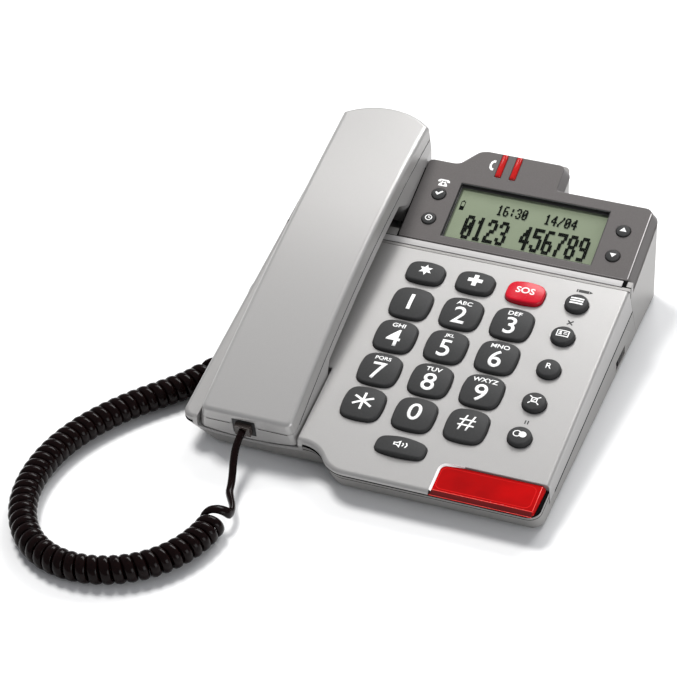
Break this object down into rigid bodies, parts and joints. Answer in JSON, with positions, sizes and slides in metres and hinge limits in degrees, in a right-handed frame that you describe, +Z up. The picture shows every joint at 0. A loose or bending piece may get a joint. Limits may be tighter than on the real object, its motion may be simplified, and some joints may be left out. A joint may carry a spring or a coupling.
{
  "type": "medical alert base station",
  "caption": "Desk emergency telephone: corded handset in a cradle, large domed keys, red alarm key, corner alarm lamp, tilted display console and a coiled cord.",
  "frame": {"origin": "on the table, under the middle of the box round the phone without its cord", "axes": "+X to the user's right, +Y away from the user towards the rear of the phone, +Z up from the table"},
  "size_m": [0.2344, 0.3085, 0.0682],
  "materials": {
    "silver_paint": "silver metallic paint on plastic, satin",
    "casing_silver": "silver metallic paint on plastic, satin",
    "console_grey": "warm dark grey metallic",
    "key_grey": "dark grey, semi-gloss",
    "alarm_key_red": "red, semi-gloss",
    "lamp_red": "deep red translucent plastic, polished",
    "light_bar_red": "red translucent plastic",
    "display_window": "clear, polished",
    "lcd_grey_green": "grey-green liquid crystal",
    "circuit_board": "green laminate",
    "foot_rubber": "matt",
    "mat_rubber": "matt silicone",
    "cord_vinyl": "black vinyl, glossy",
    "plug_clear": "smoky plastic",
    "screw_steel": "zinc plated",
    "battery_cans": "shrink-wrapped cells",
    "speaker_metal": "black",
    "black_plastic": "moulded"
  },
  "bodies": {
    "base": {"alarm_lamp_leds": "circuit_board", "alarm_lamp_lens": "lamp_red", "base_cord_socket": "black_plastic", "battery_cells": "battery_cans", "casing_screws": "screw_steel", "console_board": "circuit_board", "console_cover": "console_grey", "cord_coil": "cord_vinyl", "cord_lead_base": "cord_vinyl", "cord_lead_handset": "cord_vinyl", "cord_plug_base": "plug_clear", "display_window": "display_window", "keypad_mat": "mat_rubber", "lcd_panel": "lcd_grey_green", "light_bar_left": "light_bar_red", "light_bar_right": "light_bar_red", "line_socket": "black_plastic", "loudspeaker": "speaker_metal", "lower_shell": "casing_silver", "main_board": "circuit_board", "rear_housing": "casing_silver", "rubber_feet": "foot_rubber", "upper_shell": "silver_paint"},
    "key_0_body": {"key_0": "key_grey"},
    "key_1_body": {"key_1": "key_grey"},
    "key_2_body": {"key_2": "key_grey"},
    "key_3_body": {"key_3": "key_grey"},
    "key_4_body": {"key_4": "key_grey"},
    "key_5_body": {"key_5": "key_grey"},
    "key_6_body": {"key_6": "key_grey"},
    "key_7_body": {"key_7": "key_grey"},
    "key_8_body": {"key_8": "key_grey"},
    "key_9_body": {"key_9": "key_grey"},
    "key_alarm_body": {"key_alarm": "alarm_key_red"},
    "key_caller_list_body": {"key_caller_list": "key_grey"},
    "key_hash_body": {"key_hash": "key_grey"},
    "key_memory_plus_body": {"key_memory_plus": "key_grey"},
    "key_memory_star_body": {"key_memory_star": "key_grey"},
    "key_menu_body": {"key_menu": "key_grey"},
    "key_mute_body": {"key_mute": "key_grey"},
    "key_recall_body": {"key_recall": "key_grey"},
    "key_redial_body": {"key_redial": "key_grey"},
    "key_speaker_body": {"key_speaker": "key_grey"},
    "key_star_body": {"key_star": "key_grey"},
    "button_clock_body": {"button_clock": "key_grey"},
    "button_down_body": {"button_down": "key_grey"},
    "button_ok_body": {"button_ok": "key_grey"},
    "button_up_body": {"button_up": "key_grey"},
    "handset": {"handset_outer_shell": "silver_paint", "handset_inner_shell": "silver_paint", "earpiece_speaker": "speaker_metal", "microphone": "black_plastic", "handset_cord_socket": "black_plastic", "cord_plug_handset": "plug_clear"},
    "hook_plunger_body": {"hook_plunger": "black_plastic"},
    "ringer_switch_body": {"ringer_switch": "black_plastic"},
    "battery_door_body": {"battery_door": "casing_silver"}
  },
  "joints": [
    {"name": "key_0_press", "type": "slide", "parent": "base", "child": "key_0_body", "axis": [0, 0.1478, -0.989], "range_m": [0, 0.0015], "stiffness_N_per_m": 600},
    {"name": "key_1_press", "type": "slide", "parent": "base", "child": "key_1_body", "axis": [0, 0.1478, -0.989], "range_m": [0, 0.0015], "stiffness_N_per_m": 600},
    {"name": "key_2_press", "type": "slide", "parent": "base", "child": "key_2_body", "axis": [0, 0.1478, -0.989], "range_m": [0, 0.0015], "stiffness_N_per_m": 600},
    {"name": "key_3_press", "type": "slide", "parent": "base", "child": "key_3_body", "axis": [0, 0.1478, -0.989], "range_m": [0, 0.0015], "stiffness_N_per_m": 600},
    {"name": "key_4_press", "type": "slide", "parent": "base", "child": "key_4_body", "axis": [0, 0.1478, -0.989], "range_m": [0, 0.0015], "stiffness_N_per_m": 600},
    {"name": "key_5_press", "type": "slide", "parent": "base", "child": "key_5_body", "axis": [0, 0.1478, -0.989], "range_m": [0, 0.0015], "stiffness_N_per_m": 600},
    {"name": "key_6_press", "type": "slide", "parent": "base", "child": "key_6_body", "axis": [0, 0.1478, -0.989], "range_m": [0, 0.0015], "stiffness_N_per_m": 600},
    {"name": "key_7_press", "type": "slide", "parent": "base", "child": "key_7_body", "axis": [0, 0.1478, -0.989], "range_m": [0, 0.0015], "stiffness_N_per_m": 600},
    {"name": "key_8_press", "type": "slide", "parent": "base", "child": "key_8_body", "axis": [0, 0.1478, -0.989], "range_m": [0, 0.0015], "stiffness_N_per_m": 600},
    {"name": "key_9_press", "type": "slide", "parent": "base", "child": "key_9_body", "axis": [0, 0.1478, -0.989], "range_m": [0, 0.0015], "stiffness_N_per_m": 600},
    {"name": "key_alarm_press", "type": "slide", "parent": "base", "child": "key_alarm_body", "axis": [0, 0.1478, -0.989], "range_m": [0, 0.0015], "stiffness_N_per_m": 600},
    {"name": "key_caller_list_press", "type": "slide", "parent": "base", "child": "key_caller_list_body", "axis": [0, 0.1478, -0.989], "range_m": [0, 0.0015], "stiffness_N_per_m": 600},
    {"name": "key_hash_press", "type": "slide", "parent": "base", "child": "key_hash_body", "axis": [0, 0.1478, -0.989], "range_m": [0, 0.0015], "stiffness_N_per_m": 600},
    {"name": "key_memory_plus_press", "type": "slide", "parent": "base", "child": "key_memory_plus_body", "axis": [0, 0.1478, -0.989], "range_m": [0, 0.0015], "stiffness_N_per_m": 600},
    {"name": "key_memory_star_press", "type": "slide", "parent": "base", "child": "key_memory_star_body", "axis": [0, 0.1478, -0.989], "range_m": [0, 0.0015], "stiffness_N_per_m": 600},
    {"name": "key_menu_press", "type": "slide", "parent": "base", "child": "key_menu_body", "axis": [0, 0.1478, -0.989], "range_m": [0, 0.0015], "stiffness_N_per_m": 600},
    {"name": "key_mute_press", "type": "slide", "parent": "base", "child": "key_mute_body", "axis": [0, 0.1478, -0.989], "range_m": [0, 0.0015], "stiffness_N_per_m": 600},
    {"name": "key_recall_press", "type": "slide", "parent": "base", "child": "key_recall_body", "axis": [0, 0.1478, -0.989], "range_m": [0, 0.0015], "stiffness_N_per_m": 600},
    {"name": "key_redial_press", "type": "slide", "parent": "base", "child": "key_redial_body", "axis": [0, 0.1478, -0.989], "range_m": [0, 0.0015], "stiffness_N_per_m": 600},
    {"name": "key_speaker_press", "type": "slide", "parent": "base", "child": "key_speaker_body", "axis": [0, 0.1478, -0.989], "range_m": [0, 0.0015], "stiffness_N_per_m": 600},
    {"name": "key_star_press", "type": "slide", "parent": "base", "child": "key_star_body", "axis": [0, 0.1478, -0.989], "range_m": [0, 0.0015], "stiffness_N_per_m": 600},
    {"name": "button_clock_press", "type": "slide", "parent": "base", "child": "button_clock_body", "axis": [0, 0.2756, -0.9613], "range_m": [0, 0.0008], "stiffness_N_per_m": 500},
    {"name": "button_down_press", "type": "slide", "parent": "base", "child": "button_down_body", "axis": [0, 0.2756, -0.9613], "range_m": [0, 0.0008], "stiffness_N_per_m": 500},
    {"name": "button_ok_press", "type": "slide", "parent": "base", "child": "button_ok_body", "axis": [0, 0.2756, -0.9613], "range_m": [0, 0.0008], "stiffness_N_per_m": 500},
    {"name": "button_up_press", "type": "slide", "parent": "base", "child": "button_up_body", "axis": [0, 0.2756, -0.9613], "range_m": [0, 0.0008], "stiffness_N_per_m": 500},
    {"name": "handset_lift", "type": "slide", "parent": "base", "child": "handset", "axis": [0, -0.2113, 0.9774], "range_m": [0, 0.06]},
    {"name": "hook_plunger_rise", "type": "slide", "parent": "base", "child": "hook_plunger_body", "axis": [0, -0.2113, 0.9774], "range_m": [0, 0.003]},
    {"name": "ringer_switch_slide", "type": "slide", "parent": "base", "child": "ringer_switch_body", "axis": [0, 1, 0], "range_m": [-0.0025, 0.0025]},
    {"name": "battery_door_slide", "type": "slide", "parent": "base", "child": "battery_door_body", "axis": [0, -1, 0], "range_m": [0, 0.006]}
  ],
  "couplings": [
    {"joint": "hook_plunger_rise", "follows": "handset_lift", "ratio": 0.05}
  ]
}
